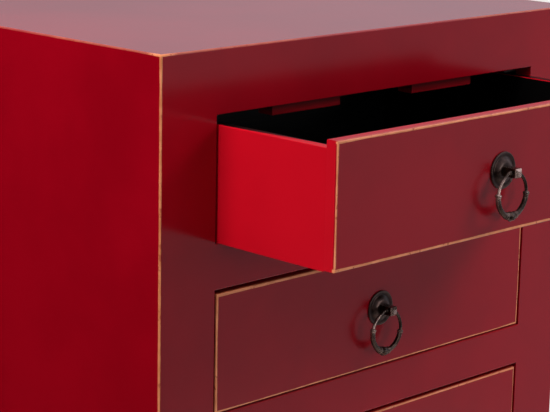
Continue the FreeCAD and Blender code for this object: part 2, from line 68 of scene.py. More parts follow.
# Levels of a cloud: its middle, and the range that a change spreads over.
CLOUD_MIDDLE = 0.5
WIDE = (0.3, 0.7)
NARROW = (0.35, 0.65)

# Settings of nodes that are added often, and the colour sockets of the Mix node.
SMOOTH = {"interpolation_type": "SMOOTHSTEP"}
COLOURS = {"data_type": "RGBA"}
SHARE, FIRST, SECOND, MIXED = 0, 6, 7, 2

Socket = bpy.types.NodeSocket
Value = float | tuple | Socket


class Grain(Enum):
    """Way that a board's grain runs: how many times longer its fibres are along X, Y and Z."""

    ACROSS = (22.0, 1.0, 1.0)
    DEEP = (1.0, 22.0, 1.0)
    UPRIGHT = (1.0, 1.0, 24.0)


class Ends(Enum):
    """What closes the first and the last loop of a grid."""

    FANS = "a fan on each"
    JOINED = "a band from one to the other"


def linear(code: str) -> tuple[float, float, float, float]:
    """Turn an sRGB hex colour into linear RGBA, by the sRGB curve.

    Args:
        code: colour as "#RRGGBB".

    Returns:
        Linear red, green, blue and an alpha of 1.
    """
    parts = [int(code[i : i + 2], 16) / 255 for i in (1, 3, 5)]
    return (*(p / 12.92 if p <= 0.04045 else ((p + 0.055) / 1.055) ** 2.4 for p in parts), 1.0)


def add_node(
    tree: bpy.types.NodeTree,
    kind: str,
    inputs: tuple | dict = (),
    out: int | str = 0,
    **settings: str,
) -> Socket | None:
    """Add one shader node with its settings and links.

    Args:
        tree: node tree that gets the node.
        kind: node type without its prefix, such as "Math".
        inputs: numbers, colours or sockets to link, in the order of the inputs or by name or index.
        out: name or index of the output that is wanted.
        settings: properties set on the node itself.

    Returns:
        That output of the new node, or None where the node has no outputs.
    """
    node = tree.nodes.new(f"ShaderNode{kind}")
    for name, value in settings.items():
        setattr(node, name, value)
    for key, value in inputs.items() if isinstance(inputs, dict) else enumerate(inputs):
        if isinstance(value, Socket):
            tree.links.new(value, node.inputs[key])
        else:
            node.inputs[key].default_value = value
    return node.outputs[out] if len(node.outputs) else None


class Finish:
    """A material under construction, with the patterns that the chest's finishes share.

    Its add is add_node for its own tree, and its place is the point on the object.
    """

    def __init__(self, name: str) -> None:
        """Start an empty node material.

        Args:
            name: name of the real finish.
        """
        self.material = bpy.data.materials.new(name)
        self.material.use_nodes = True
        self.material.node_tree.nodes.clear()
        self.add = partial(add_node, self.material.node_tree)
        self.place = self.add("TexCoord", out="Object")

    def cloud(
        self, size: float, stretch: tuple = (1.0, 1.0, 1.0), detail: float = 3.0, rough: float = 0.55
    ) -> Socket:
        """Soft random pattern.

        Args:
            size: width of its patches, in metres.
            stretch: how many times longer the patches are along X, Y and Z.
            detail: number of finer layers.
            rough: strength of each finer layer beside the one before.

        Returns:
            Socket with a level of about 0 to 1.
        """
        scale = tuple(1.0 / (size * times) for times in stretch)
        scaled = self.add("Mapping", {"Vector": self.place, "Scale": scale})
        inputs = {"Vector": scaled, "Scale": 1.0, "Detail": detail, "Roughness": rough}
        return self.add("TexNoise", inputs)

    def tone(self, pattern: Socket, levels: tuple, first: str, second: str) -> Socket:
        """Colour that turns smoothly from one tone into another as a pattern rises.

        Args:
            pattern: level that drives it.
            levels: where the change starts and where it ends.
            first: hex colour before the change.
            second: hex colour after it.

        Returns:
            Socket with the colour.
        """
        share = self.add("MapRange", (pattern, *levels), **SMOOTH)
        inputs = {SHARE: share, FIRST: linear(first), SECOND: linear(second)}
        return self.add("Mix", inputs, MIXED, **COLOURS)

    def depth(self, low: Vector, high: Vector) -> list[Socket]:
        """Distance inwards from the faces of a box along each axis.

        Args:
            low: lowest corner of the box.
            high: highest corner.

        Returns:
            Sockets with half the box's size less the distance from its middle, for X, Y and Z.
        """
        middle = tuple((low + high) / 2)
        half = tuple((high - low) / 2)
        away = self.add("VectorMath", (self.place, middle), operation="SUBTRACT")
        away = self.add("VectorMath", (away,), operation="ABSOLUTE")
        inward = self.add("VectorMath", (half, away), operation="SUBTRACT")
        return list(self.add("SeparateXYZ", (inward,)).node.outputs)

    def inside(self, low: Vector, high: Vector) -> Socket:
        """1 within a box and 0 outside it, with a crisp border.

        Args:
            low: lowest corner of the box.
            high: highest corner.

        Returns:
            Socket with 1 or 0.
        """
        x, y, z = self.depth(low, high)
        least = self.add("Math", (x, y), operation="MINIMUM")
        least = self.add("Math", (least, z), operation="MINIMUM")
        return self.add("Math", (least, 0.0), operation="GREATER_THAN")

    def close(self, **inputs: Value) -> bpy.types.Material:
        """End the material with its shader.

        Args:
            inputs: shader values or sockets, with underscores for the spaces in their names.

        Returns:
            The finished material.
        """
        named = {name.replace("_", " "): value for name, value in inputs.items()}
        self.add("OutputMaterial", {"Surface": self.add("BsdfPrincipled", named)})
        return self.material


@dataclass(frozen=True)
class GoldWear:
    """Width of the gold along the ends, the upper edge and the lower edge of a drawer's face."""

    ends: float
    upper: float
    lower: float


@dataclass(frozen=True)
class LacquerFinish:
    """Sprayed and rubbed red lacquer over wood, worn through to a gold ground along the edges.

    It gives the eye a deep red with a soft clear reflection, and thin gold lines of uneven width.
    """

    red: tuple = ("#960215", "#8A0112")
    bright_red: tuple = ("#C0081C", "#B60619")
    black: str = "#060505"
    case_gild: tuple = ("#E28B5C", "#CC7546")
    # Drawers' gold, paler than the case's: painted light that makes up for the shade their edges lie
    # in
    lightened_drawer_gild: tuple = ("#EE9669", "#D88054")
    ior: float = 1.5
    gloss: float = 0.17
    face_gloss: float = 0.25
    satin_ior: float = 1.4
    satin: float = 0.36
    gold_rough: float = 0.42
    black_rough: float = 0.85
    black_sheen: float = 0.3

    # Drift of the red, and width, strength and height of its relief
    patch: float = 160 * MM
    wave_relief: tuple = (45 * MM, 0.25, 0.12 * MM)
    peel_relief: tuple = (1.6 * MM, 0.03, 0.02 * MM)

    # Gold lines: how far their border wanders, in which patterns, and how it flares at a corner
    case_gold: float = 1.8 * MM
    gold_soft: float = 0.3 * MM
    gold_wander: float = 1.6 * MM
    gold_drift: tuple = (60 * MM, 0.7)
    gold_nibble: tuple = (5 * MM, 0.3)
    gold_flare: float = 0.5 * MM
    flare_reach: tuple = (2 * MM, 40 * MM)
    gold_stain: float = 18 * MM
    fleck: float = 6 * MM
    fleck_levels: tuple = (0.6, 0.68)
    fleck_share: float = 0.5

    # Share of the gold that shows along the case's top, beside a corner and further away: partly
    # uneven wear, partly painted shade on the top edges, which catch the light
    top_band: tuple = (2 * MM, 14 * MM)
    top_reach: tuple = (5 * MM, 25 * MM)
    top_share: float = 0.26
    wear_and_shade_reach: tuple = (140 * MM, 240 * MM)
    mid_share: float = 0.05

    # Upper and lower lips of a drawer front, where less gold and, on the top, less bright red show:
    # painted shade on the top, which catches the light from above
    lip: float = 0.3 * MM
    lip_reach: float = 1.2 * MM
    lip_shade_gold: float = 0.35
    lip_shade_red: float = 0.5

    # Drawer sides, with the bare red strip along their tops at its front and rear ends; the black
    # beside it, widest near the case, is partly painted shade
    skin: float = 0.02 * MM
    side_thick: float = 12 * MM
    side_top: float = 0.3 * MM
    bare_reach: tuple = (15 * MM, 150 * MM)
    bare_width: tuple = (9 * MM, 0.6 * MM)
    ragged: tuple = (14 * MM, 0.8 * MM)

    def relief(self, finish: Finish) -> Socket:
        """Slow waves of the board under the lacquer, with the fine peel of the spray on them.

        Args:
            finish: material under construction.

        Returns:
            Socket with the normal.
        """
        below = {}
        for width, strength, height in (self.wave_relief, self.peel_relief):
            pattern = finish.cloud(width, detail=1.0)
            inputs = {"Height": pattern, "Strength": strength, "Distance": height, **below}
            below = {"Normal": finish.add("Bump", inputs)}
        return below["Normal"]

    def gilding(self, finish: Finish, beyond: Socket, corner: Socket) -> Socket:
        """Where the gold ground shows: a line along the edges whose width drifts, flecked with red.

        Args:
            finish: material under construction.
            beyond: distance outside the even gold line, below 0 within it.
            corner: distance from the nearest corner.

        Returns:
            Socket with 1 on the gold and 0 off it.
        """
        add = finish.add
        shifts = []
        for width, share in (self.gold_drift, self.gold_nibble):
            shifts.append(add("Math", (finish.cloud(width, detail=2.0), share), operation="MULTIPLY"))
        wander = add("Math", tuple(shifts), operation="ADD")
        wander = add("Math", (wander, CLOUD_MIDDLE), operation="SUBTRACT")
        wander = add("Math", (wander, self.gold_wander), operation="MULTIPLY")
        flare = add("MapRange", (corner, *self.flare_reach, self.gold_flare, 0.0), **SMOOTH)
        beyond = add("Math", (beyond, wander), operation="SUBTRACT")
        beyond = add("Math", (beyond, flare), operation="SUBTRACT")
        line = add("MapRange", (beyond, -self.gold_soft, self.gold_soft, 1.0, 0.0), **SMOOTH)
        flecks = finish.cloud(self.fleck, detail=2.0)
        flecks = add("MapRange", (flecks, *self.fleck_levels, 1.0, self.fleck_share), **SMOOTH)
        return add("Math", (line, flecks), operation="MULTIPLY")

    def case(
        self,
        low: Vector,
        high: Vector,
        hollow: tuple[Vector, Vector],
        sills: list[tuple[Vector, Vector]],
    ) -> bpy.types.Material:
        """Lacquer of the case: gold along its outer edges, black paint inside, matt sills.

        The distance from the nearest edge of a box is the middle one of a point's three depths.
        Along the edges of the top the gold is half covered, and more so away from the corners: partly
        wear, partly painted shade.

        Args:
            low: lowest corner of the case.
            high: highest corner.
            hollow: corners of the space within the case.
            sills: corners round each rail's upper edge, rubbed matt by its drawer.

        Returns:
            The material.
        """
        finish = Finish("rubbed_red_lacquer")
        add = finish.add
        x, y, z = finish.depth(low - Vector((0, 0, FAR)), high)
        deeper = add("Math", (x, y), operation="MAXIMUM")
        nearer = add("Math", (x, y), operation="MINIMUM")
        edge = add("Math", (deeper, z), operation="MINIMUM")
        edge = add("Math", (nearer, edge), operation="MAXIMUM")
        beyond = add("Math", (edge, self.case_gold), operation="SUBTRACT")
        corner = add("Math", (deeper, z), operation="MAXIMUM")
        gold = self.gilding(finish, beyond, corner)
        # Gold turned down along the top's edges: partly wear, partly painted shade
        near = add("MapRange", (corner, *self.top_reach, 1.0, self.top_share), **SMOOTH)
        along_top = add("MapRange", (corner, *self.wear_and_shade_reach, near, self.mid_share), **SMOOTH)
        gold_kept = add("MapRange", (z, *self.top_band, along_top, 1.0), **SMOOTH)
        gold = add("Math", (gold, gold_kept), operation="MULTIPLY")
        red = finish.tone(finish.cloud(self.patch), WIDE, *self.red)
        gild = finish.tone(finish.cloud(self.gold_stain), NARROW, *self.case_gild)
        within = finish.inside(*hollow)
        colour = red
        for share, over in ((gold, gild), (within, linear(self.black))):
            colour = add("Mix", {SHARE: share, FIRST: colour, SECOND: over}, MIXED, **COLOURS)
        matt = within
        for sill in sills:
            matt = add("Math", (matt, finish.inside(*sill)), operation="MAXIMUM")
        matt = add("Math", (matt, self.black_rough), operation="MULTIPLY")
        rough = add("MapRange", (gold, 0.0, 1.0, self.gloss, self.gold_rough), **SMOOTH)
        rough = add("Math", (rough, matt), operation="MAXIMUM")
        normal = self.relief(finish)
        return finish.close(Base_Color=colour, Roughness=rough, Normal=normal, IOR=self.ior)

    def drawer_front(
        self, name: str, low: Vector, high: Vector, face: float, wear: GoldWear
    ) -> bpy.types.Material:
        """Lacquer of a drawer's face, gold round it, bright red rim and black back, with painted
        shade on its lips.

        Only the four edges of the face are worn: the distance from an edge is the depth behind the
        face or the depth from that end or long edge, whichever is more.

        Args:
            name: name of the material.
            low: lowest corner of the drawer front.
            high: highest corner.
            face: depth behind the face where the bright red begins.
            wear: widths of its gold.

        Returns:
            The material.
        """
        finish = Finish(name)
        add = finish.add
        x, y, z = finish.depth(low, high + Vector((0, FAR, 0)))
        up = add("SeparateXYZ", (finish.place,), "Z")
        width = add("MapRange", (up, low.z, high.z, wear.lower, wear.upper), **SMOOTH)
        from_end = add("Math", (x, y), operation="MAXIMUM")
        from_edge = add("Math", (y, z), operation="MAXIMUM")
        corner = add("Math", (from_end, z), operation="MAXIMUM")
        past_end = add("Math", (from_end, wear.ends), operation="SUBTRACT")
        past_edge = add("Math", (from_edge, width), operation="SUBTRACT")
        beyond = add("Math", (past_end, past_edge), operation="MINIMUM")
        gold = self.gilding(finish, beyond, corner)
        # Painted shade: the gold thins on the lips, and the bright red on the top lip is dimmed
        gold_kept = add("MapRange", (z, self.lip_reach, 0.0, 1.0, self.lip_shade_gold), **SMOOTH)
        gold = add("Math", (gold, gold_kept), operation="MULTIPLY")
        red = finish.tone(finish.cloud(self.patch), WIDE, *self.red)
        bright = finish.tone(finish.cloud(self.patch), WIDE, *self.bright_red)
        # Paler gold on the drawers: painted light
        gild = finish.tone(finish.cloud(self.gold_stain), NARROW, *self.lightened_drawer_gild)
        rim = add("MapRange", (y, face - self.gold_soft, face + self.gold_soft), **SMOOTH)
        on_lip = add("Math", (up, high.z - self.lip), operation="GREATER_THAN")
        shaded_lip = add("Math", (on_lip, self.lip_shade_red), operation="MULTIPLY")
        brighter = add("Math", (rim, shaded_lip), operation="SUBTRACT")
        brighter = add("Math", (brighter, 0.0), operation="MAXIMUM")
        back = add("Math", (y, high.y - low.y - self.skin), operation="GREATER_THAN")
        colour = red
        for share, over in ((brighter, bright), (gold, gild), (back, linear(self.black))):
            colour = add("Mix", {SHARE: share, FIRST: colour, SECOND: over}, MIXED, **COLOURS)
        rough = add("MapRange", (rim, 0.0, 1.0, self.face_gloss, self.satin), **SMOOTH)
        for share, level in ((gold, self.gold_rough), (back, self.black_rough)):
            duller = add("Math", (share, level), operation="MULTIPLY")
            rough = add("Math", (rough, duller), operation="MAXIMUM")
        normal = self.relief(finish)
        return finish.close(Base_Color=colour, Roughness=rough, Normal=normal, IOR=self.ior)

    def drawer_side(self, name: str, low: Vector, high: Vector) -> bpy.types.Material:
        """Bright red outside of a drawer's sides; black inside and over their tops.

        The black stops short of the outer edge of the tops, by more towards the drawer's front; near
        the case it is partly painted shade.

        Args:
            name: name of the material.
            low: lowest corner of the left and right sides together.
            high: highest corner.

        Returns:
            The material.
        """
        finish = Finish(name)
        add = finish.add
        x, _, z = finish.depth(low, high)
        inner = add("Math", (x, self.side_thick - self.skin), operation="GREATER_THAN")
        behind = add("SeparateXYZ", (finish.place,), "Y")
        behind = add("Math", (behind, low.y), operation="SUBTRACT")
        bare = add("MapRange", (behind, *self.bare_reach, *self.bare_width), **SMOOTH)
        size, reach = self.ragged
        ragged = add("Math", (finish.cloud(size), reach), operation="MULTIPLY")
        bare = add("Math", (bare, ragged), operation="ADD")
        past = add("Math", (x, bare), operation="GREATER_THAN")
        on_top = add("Math", (z, self.side_top), operation="LESS_THAN")
        over = add("Math", (on_top, past), operation="MULTIPLY")
        # Black inside paint, which over the tops also stands for painted shade near the case
        black = add("Math", (inner, over), operation="MAXIMUM")
        bright = finish.tone(finish.cloud(self.patch), WIDE, *self.bright_red)
        inputs = {SHARE: black, FIRST: bright, SECOND: linear(self.black)}
        colour = add("Mix", inputs, MIXED, **COLOURS)
        rough = add("MapRange", (black, 0.0, 1.0, self.satin, self.black_sheen), **SMOOTH)
        normal = self.relief(finish)
        return finish.close(Base_Color=colour, Roughness=rough, Normal=normal, IOR=self.satin_ior)


@dataclass(frozen=True)
class PaintedWood:
    """Thin matt paint or stain on sawn board: the grain still shows in tone and relief; where given,
    painted shade darkens it upward.
    """

    name: str
    light: str
    dark: str
    grain: Grain = Grain.DEEP
    ior: float = 1.45
    rough: float = 0.6
    rough_drift: float = 0.08
    fibre: tuple = (3 * MM, 0.6)
    broad: tuple = (90 * MM, 0.4)
    broad_stretch: tuple = (1.0, 3.0, 1.0)
    relief: float = 0.3
    relief_height: float = 0.15 * MM
    # thin: dark tone that the paint darkens to upward, painted shade under a rail
    thin: str = "#5C0711"

    def build(self, shaded_heights: tuple[float, float] | None = None) -> bpy.types.Material:
        """Make the material.

        Args:
            shaded_heights: heights between which the paint darkens upward to its thin tone, where
                they are given: painted shade under a rail.

        Returns:
            The material.
        """
        finish = Finish(self.name)
        add = finish.add
        fibre = finish.cloud(self.fibre[0], self.grain.value, detail=4.0)
        broad = finish.cloud(self.broad[0], self.broad_stretch, detail=2.0)
        fine_part = add("Math", (fibre, self.fibre[1]), operation="MULTIPLY")
        broad_part = add("Math", (broad, self.broad[1]), operation="MULTIPLY")
        figure = add("Math", (fine_part, broad_part), operation="ADD")
        colour = finish.tone(figure, NARROW, self.light, self.dark)
        # Painted shade: the paint darkens upward between the given heights, standing in for the
        # shadow of a rail
        if shaded_heights is not None:
            up = add("SeparateXYZ", (finish.place,), "Z")
            share = add("MapRange", (up, *shaded_heights), **SMOOTH)
            inputs = {SHARE: share, FIRST: colour, SECOND: linear(self.thin)}
            colour = add("Mix", inputs, MIXED, **COLOURS)
        levels = self.rough - self.rough_drift, self.rough + self.rough_drift
        rough = add("MapRange", (fibre, *WIDE, *levels), **SMOOTH)
        inputs = {"Height": fibre, "Strength": self.relief, "Distance": self.relief_height}
        normal = add("Bump", inputs)
        return finish.close(Base_Color=colour, Roughness=rough, Normal=normal, IOR=self.ior)


@dataclass(frozen=True)
class CastIron:
    """Cast iron, blackened and waxed: brown-black with soft highlights, grey where hands rub it.

    Its pits are drawn coarser than real ones, which are too fine to show.
    """

    name: str = "waxed_cast_iron"
    black: str = "#21150F"
    brown: str = "#38271B"
    rubbed: str = "#B89A90"
    rub_layer: str = "rub"
    metallic: float = 0.75
    rough: float = 0.24
    rough_drift: tuple = (-0.05, 0.08)
    stain: float = 5 * MM
    stain_levels: tuple = (0.4, 0.65)
    shine_levels: tuple = (0.3, 0.6)
    shine_least: float = 0.5
    pit: float = 0.9 * MM
    relief: float = 0.2
    relief_height: float = 0.06 * MM

    def build(self, worn: tuple[Vector, Vector] | None = None) -> bpy.types.Material:
        """Make the material.

        Args:
            worn: corners of a box in which the iron is rubbed bare, beside what the layer says.

        Returns:
            The material.
        """
        finish = Finish(self.name)
        add = finish.add
        stain = finish.cloud(self.stain, detail=4.0)
        pits = finish.cloud(self.pit)
        rub = add("Attribute", out="Fac", attribute_name=self.rub_layer)
        patchy = add("MapRange", (stain, *self.shine_levels, self.shine_least, 1.0), **SMOOTH)
        shine = add("Math", (rub, patchy), operation="MULTIPLY")
        if worn is not None:
            shine = add("Math", (shine, finish.inside(*worn)), operation="MAXIMUM")
        colour = finish.tone(stain, self.stain_levels, self.black, self.brown)
        inputs = {SHARE: shine, FIRST: colour, SECOND: linear(self.rubbed)}
        colour = add("Mix", inputs, MIXED, **COLOURS)
        levels = [self.rough + drift for drift in self.rough_drift]
        rough = add("MapRange", (pits, *WIDE, *levels), **SMOOTH)
        unworn = add("Math", (1.0, shine), operation="SUBTRACT")
        height = add("Math", (pits, unworn), operation="MULTIPLY")
        inputs = {"Height": height, "Strength": self.relief, "Distance": self.relief_height}
        normal = add("Bump", inputs)
        return finish.close(
            Base_Color=colour, Roughness=rough, Metallic=self.metallic, Normal=normal
        )


@dataclass(frozen=True)
class ZincSteel:
    """Zinc plated steel: pale grey metal with a mottled, slightly dull spangle."""

    name: str = "zinc_plated_steel"
    light: str = "#B9BBBC"
    dark: str = "#8E9092"
    spangle: float = 1.5 * MM
    rough: tuple = (0.3, 0.42)

    def build(self) -> bpy.types.Material:
        """Make the material.

        Returns:
            The material.
        """
        finish = Finish(self.name)
        spangle = finish.cloud(self.spangle)
        colour = finish.tone(spangle, NARROW, self.light, self.dark)
        rough = finish.add("MapRange", (spangle, *WIDE, *self.rough), **SMOOTH)
        return finish.close(Base_Color=colour, Roughness=rough, Metallic=1.0)


def grid_mesh(name: str, points: np.ndarray, ends: Ends) -> bpy.types.Object:
    """Mesh of a surface that closes on itself across its rows.

    Args:
        name: name of the new piece.
        points: array of rows by columns by 3, in metres, each row a closed loop.
        ends: what closes the first and the last row.

    Returns:
        The new object, at the origin.
    """
    rows, columns, _ = points.shape
    number = np.arange(rows * columns).reshape(rows, columns)
    if ends is Ends.JOINED:
        number = np.vstack([number, number[:1]])
    right = np.roll(number, -1, axis=1)
    quads = np.stack([number[:-1], right[:-1], right[1:], number[1:]], axis=-1).reshape(-1, 4)
    faces = quads.tolist()
    vertices = points.reshape(-1, 3)
    if ends is Ends.FANS:
        middles = np.stack([points[0].mean(axis=0), points[-1].mean(axis=0)])
        first, last = len(vertices), len(vertices) + 1
        vertices = np.vstack([vertices, middles])
        head = np.stack([np.full(columns, first), right[0], number[0]], axis=-1)
        tail = np.stack([np.full(columns, last), number[-1], right[-1]], axis=-1)
        faces += head.tolist() + tail.tolist()
    mesh = bpy.data.meshes.new(name)
    mesh.from_pydata(vertices.tolist(), [], faces)
    mesh.polygons.foreach_set("use_smooth", np.ones(len(mesh.polygons), dtype=bool))
    mesh.update()
    piece = bpy.data.objects.new(name, mesh)
    bpy.context.scene.collection.objects.link(piece)
    return piece


def set_layer(piece: bpy.types.Object, name: str, values: np.ndarray) -> None:
    """Store one number for each vertex; extra vertices of end fans get the last value.

    Args:
        piece: object that gets the layer.
        name: name of the layer.
        values: one number for each grid point.
    """
    count = len(piece.data.vertices)
    flat = np.concatenate([values.ravel(), np.full(count - values.size, values.ravel()[-1])])
    layer = piece.data.attributes.new(name, "FLOAT", "POINT")
    layer.data.foreach_set("value", flat.astype(np.float32))


def hump(value: np.ndarray, centre: float, width: float) -> np.ndarray:
    """Smooth bump of height 1 and a given half width: exp(-x^2)."""
    return np.exp(-(((value - centre) / width) ** 2))


def ridge(value: np.ndarray, centre: float, width: float) -> np.ndarray:
    """Flat-topped bump of height 1 and a given half width: exp(-x^6)."""
    return np.exp(-(((value - centre) / width) ** 6))


def step_down(value: np.ndarray, place: float, width: float) -> np.ndarray:
    """Smooth step from 1 before a place to 0 after it: 1 / (1 + exp(x))."""
    return 1 / (1 + np.exp((value - place) / width))


@dataclass
class RingPull:
    """Domed plate and swinging ring of one drawer's pull. The post keeps its solid.

    Places along the ring are angles from its bottom, in radians, positive on its left arm.
    """

    number: int

    # Plate: sizes, hammering in radians for each turn or metre, and wear
    plate_radius: float = 19.6 * MM
    hole_radius: float = 3.2 * MM
    back_share: float = 0.6
    rim_height: float = 2.0 * MM
    rim_width: float = 2.4 * MM
    rim_sweep: tuple = (-0.35 * QUARTER, 1.1 * QUARTER)
    sink_height: float = 1.0 * MM
    dome_height: float = 5.0 * MM
    dome_start: float = 1.4 * MM
    seat_radius: float = 7.5 * MM
    seat_width: float = 1.2 * MM
    dent: float = 0.2 * MM
    dents_round: int = 5
    dents_twist: float = 900.0
    dents_out: float = 1700.0
    rim_worn: float = 0.9 * MM
    rim_bare_height: float = 1.2 * MM
    dome_worn: tuple = (1.4, 0.7)
    plate_wear: float = 0.1

    # Ring: its line and the radius of its wire
    ring_radius: float = 22.7 * MM
    bend_place: float = 6.88 * MM
    bend_radius: float = 4.0 * MM
    pin_tip: float = 1.5 * MM
    pin_radius: float = 1.5 * MM
    shoulder_radius: float = 2.4 * MM
    shoulder_half: float = 0.5 * MM
    shoulder_round: float = 0.62 * MM
    thin: float = 1.7 * MM
    thick: float = 2.9 * MM
    thick_step: float = 0.02
    collar_radius: float = 3.4 * MM
    collar_width: float = 0.085
    bead_radius: float = 5.4 * MM
    bead_collars: tuple = ((4.2 * MM, 0.285, 0.05), (3.57 * MM, 0.39, 0.04))

    # Ring: depth and number of the flutes on its lower arms and bead, and where they end
    arm_flute: float = 0.14
    arm_waves: float = 3.0
    arm_end: float = QUARTER - 0.1
    arm_step: float = 0.03
    arm_clear: float = 0.5
    bead_flute: float = 0.13
    bead_waves: float = 3.5
    bead_reach: float = 0.2

    # Ring: wear as share, place and width, on both arms alike and on one arm; the one-arm terms are a
    # painted highlight on the left arm and painted shade on the right
    worn_alike: tuple = ((1.0, QUARTER, 0.25), (0.5, 0.33, 0.12))
    wear_and_highlight_arm: tuple = ((0.8, 1.9, 0.6), (-0.5, -1.5, 0.5))
    wear_least: float = 0.08
    wear_most: float = 0.6
    wear_front: float = 0.6

    # Grid points along and round the pieces
    rim_points: int = 14
    dome_points: int = 22
    plate_points: int = 96
    pin_points: int = 28
    bend_points: int = 14
    link_points: int = 8
    circle_points: int = 240
    wire_points: int = 36

    def pivot(self) -> np.ndarray:
        """Point of the joint that the ring swings about."""
        joint = next(j for j in frame["joints"] if j["name"] == f"ring_{self.number}_swing")
        return np.array(joint["pos_m"])

    def lean(self) -> float:
        """Angle that the ring hangs askew, from the place of its solid's middle beside the pivot.

        Returns:
            Angle in radians, positive to the left.
        """
        low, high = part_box(f"pull_{self.number}_ring")
        middle = (low + high) / 2 - Vector(self.pivot())
        return math.atan2(-middle.x, -middle.z)

    def plate_profile(self) -> np.ndarray:
        """Outline of the plate round its section: back, rim bead, hollow, dome and seat.

        The bead is part of an ellipse, and the dome rises as the sine of a quarter turn.

        Returns:
            Points as (radius, height).
        """
        sweep = np.linspace(*self.rim_sweep, self.rim_points)
        rim_centre = self.plate_radius - self.rim_width / 2
        bead = np.stack([
            rim_centre + self.rim_width / 2 * np.cos(sweep),
            self.rim_height / 2 + self.rim_height / 2 * np.sin(sweep),
        ], axis=-1)
        hollow = self.plate_radius - 2 * self.rim_width
        rise = np.linspace(0, 1, self.dome_points)[1:]
        dome = np.stack([
            hollow + (self.seat_radius - hollow) * rise,
            self.sink_height + (self.dome_height - self.sink_height) * np.sin(rise * QUARTER),
        ], axis=-1)
        inner, outer = self.hole_radius, self.hole_radius + self.seat_width
        back = [(inner, 0.0), (self.plate_radius * self.back_share, 0.0), (rim_centre, 0.0)]
        foot = [(hollow + self.rim_width / 2, self.sink_height)]
        seat = [(outer, self.dome_height), (inner, self.dome_height)]
        return np.vstack([back, bead, foot, dome, seat])

    def build_plate(self) -> bpy.types.Object:
        """Make the plate: its outline turned about the line of the post, with a hammered dome.

        The dents are a product of two sines, one that twists round the dome and one outwards, and
        fade out at the dome's foot and at its seat.

        Returns:
            The plate.
        """
        outline = self.plate_profile()
        turn = np.linspace(0, FULL_TURN, self.plate_points, endpoint=False)
        radius, angle = np.meshgrid(outline[:, 0], turn, indexing="ij")
        height = np.broadcast_to(outline[:, 1:2], radius.shape).copy()
        dome = np.clip((height - self.dome_start) / (self.dome_height - self.dome_start), 0, 1)
        twist = np.sin(self.dents_round * angle + self.dents_twist * radius)
        height += self.dent * dome * (1 - dome) * twist * np.sin(self.dents_out * radius)
        low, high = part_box(f"pull_{self.number}_plate")
        centre = (low + high) / 2
        points = np.stack([
            centre.x + radius * np.cos(angle),
            high.y - height,
            centre.z + radius * np.sin(angle),
        ], axis=-1)
        piece = grid_mesh(f"ring_pull_{self.number}_plate", points[::-1], Ends.JOINED)
        rim = hump(radius, self.plate_radius - self.rim_width / 2, self.rim_worn)
        rim *= height > self.rim_bare_height
        place, width = (share * self.seat_radius for share in self.dome_worn)
        rub = self.plate_wear * (rim + hump(radius, place, width) * dome)
        set_layer(piece, CastIron.rub_layer, rub[::-1])
        return piece

    def ring_path(self) -> tuple[np.ndarray, np.ndarray]:
        """Middle line of the ring from pin tip to pin tip in its own plane.

        Each pin runs level to its shoulder, bends into a straight link, and the link runs along a
        tangent into a circle through the pivot. The bend's turn a holds
        tan(a / 2) = place / (R - r), with the place of the bend, the circle's radius R and the
        bend's radius r.

        Returns:
            Points as (across, up), and the turn of each from the bottom of the ring, in radians.
        """
        place, small, large = self.bend_place, self.bend_radius, self.ring_radius
        bend = 2 * math.atan(place / (large - small))
        level = np.linspace(self.pin_tip, place, self.pin_points, endpoint=False)
        pin = np.stack([level, np.zeros_like(level)], axis=-1)
        angle = np.linspace(0, bend, self.bend_points, endpoint=False)
        turning = np.stack([place + small * np.sin(angle), small * (np.cos(angle) - 1)], axis=-1)
        start = np.array([place + small * math.sin(bend), small * (math.cos(bend) - 1)])
        along = np.linspace(0, place, self.link_points, endpoint=False)[:, None]
        link = start + along * np.array([math.cos(bend), -math.sin(bend)])
        angle = np.linspace(bend, math.pi, self.circle_points)
        circle = large * np.stack([np.sin(angle), np.cos(angle) - 1], axis=-1)
        right = np.vstack([pin, turning, link, circle])
        turn = np.concatenate([np.full(len(right) - len(angle), math.pi), math.pi - angle])
        left = right * np.array([-1.0, 1.0])
        return np.vstack([left, right[-2::-1]]), np.concatenate([turn, -turn[-2::-1]])

    def wire_radius(self, turn: np.ndarray, across: np.ndarray) -> np.ndarray:
        """Radius of the ring's wire along its path.

        It is the largest of the pins with their shoulders, the thin upper and thick lower arms, the
        collars between them, the bead's collars and the round bead.

        Args:
            turn: angle from the bottom of the ring at each point of its path.
            across: sideways place of each point.

        Returns:
            Radius at each point.
        """
        size = np.abs(turn)
        radius = self.thin + (self.thick - self.thin) * step_down(size, QUARTER, self.thick_step)
        away = np.where(np.isclose(size, math.pi), np.abs(across), FAR)
        shoulder = self.bend_place - self.shoulder_half
        radius = np.where(away < shoulder, self.pin_radius, radius)
        shoulders = self.shoulder_radius * ridge(away, shoulder, self.shoulder_round)
        radius = np.maximum(radius, shoulders)
        collars = ((self.collar_radius, QUARTER, self.collar_width), *self.bead_collars)
        for height, place, width in collars:
            radius = np.maximum(radius, height * ridge(size, place, width))
        bead = np.sqrt(np.clip(1 - (size * self.ring_radius / self.bead_radius) ** 2, 0, 1))
        return np.maximum(radius, self.bead_radius * bead)

